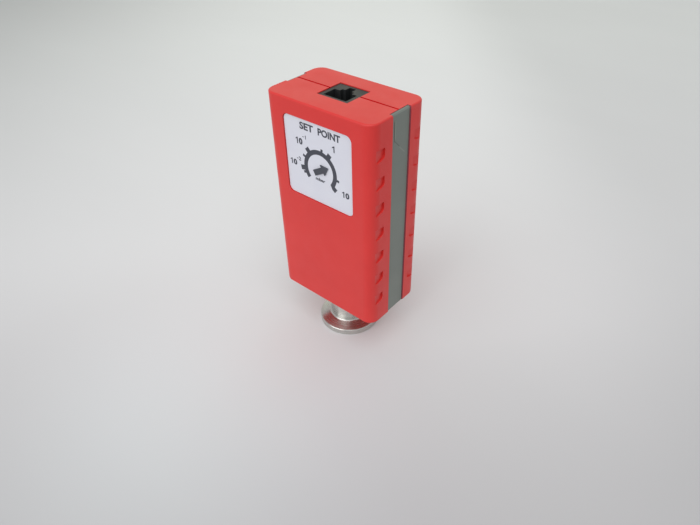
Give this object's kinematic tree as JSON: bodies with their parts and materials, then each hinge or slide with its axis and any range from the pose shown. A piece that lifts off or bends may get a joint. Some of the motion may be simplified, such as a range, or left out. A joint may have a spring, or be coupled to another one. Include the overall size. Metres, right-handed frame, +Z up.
{
  "type": "vacuum gauge",
  "caption": "Compact active vacuum gauge: a two-shell plastic case with side strips, a trip dial and a top jack, standing on a tube with a small clamping flange.",
  "frame": {"origin": "centre of the flange sealing face, which is also the middle of the base", "axes": "+Z up the tube toward the jack, -Y toward the dial, +X to the right seen from the dial side"},
  "size_m": [0.057, 0.034, 0.1215],
  "materials": {
    "case_red": "fine satin moulded red plastic",
    "strip_grey": "smooth grey plastic",
    "label_white": "printed white film",
    "arrow_dark": "dark grey plastic",
    "rotor_white": "natural nylon",
    "trimmer_blue": "moulded plastic",
    "board_green": "solder resist over glass fibre",
    "jack_black": "moulded black plastic",
    "contact_gold": "gold plated",
    "tube_steel": "turned and polished stainless steel",
    "filter_steel": "etched stainless steel",
    "header_metal": "nickel iron alloy",
    "bead_glass": "fused sealing glass",
    "pin_metal": "nickel plated",
    "wire_tungsten": "drawn wire",
    "collar_metal": "turned aluminium",
    "spring_steel": "tinned spring strip",
    "relay_cream": "moulded cover",
    "capacitor_sleeve": "bare can",
    "chip_black": "moulded epoxy",
    "screw_zinc": "zinc plated"
  },
  "bodies": {
    "case": {"front_shell": "case_red", "back_shell": "case_red", "left_strip": "strip_grey", "right_strip": "strip_grey", "label_plate": "label_white", "trimmer_body": "trimmer_blue", "main_board": "board_green", "sensor_board": "board_green", "board_link": "jack_black", "earth_clip": "spring_steel", "jack_housing": "jack_black", "jack_contacts": "contact_gold", "gauge_tube": "tube_steel", "inlet_filter": "filter_steel", "header_disc": "header_metal", "header_beads": "bead_glass", "header_pins": "pin_metal", "filament_hooks": "pin_metal", "filament": "wire_tungsten", "tube_collar": "collar_metal", "collar_screw": "screw_zinc", "trip_relay": "relay_cream", "board_capacitors": "capacitor_sleeve", "board_chips": "chip_black", "board_regulator": "chip_black", "board_screws": "screw_zinc", "case_screws": "screw_zinc"},
    "trip": {"trip_arrow": "arrow_dark", "trimmer_rotor": "rotor_white"}
  },
  "joints": [
    {"name": "trip_setting", "type": "hinge", "parent": "case", "child": "trip", "pos_m": [0.0008, -0.0167, 0.0939], "axis": [0, -1, 0], "range_deg": [-70, 183]}
  ]
}
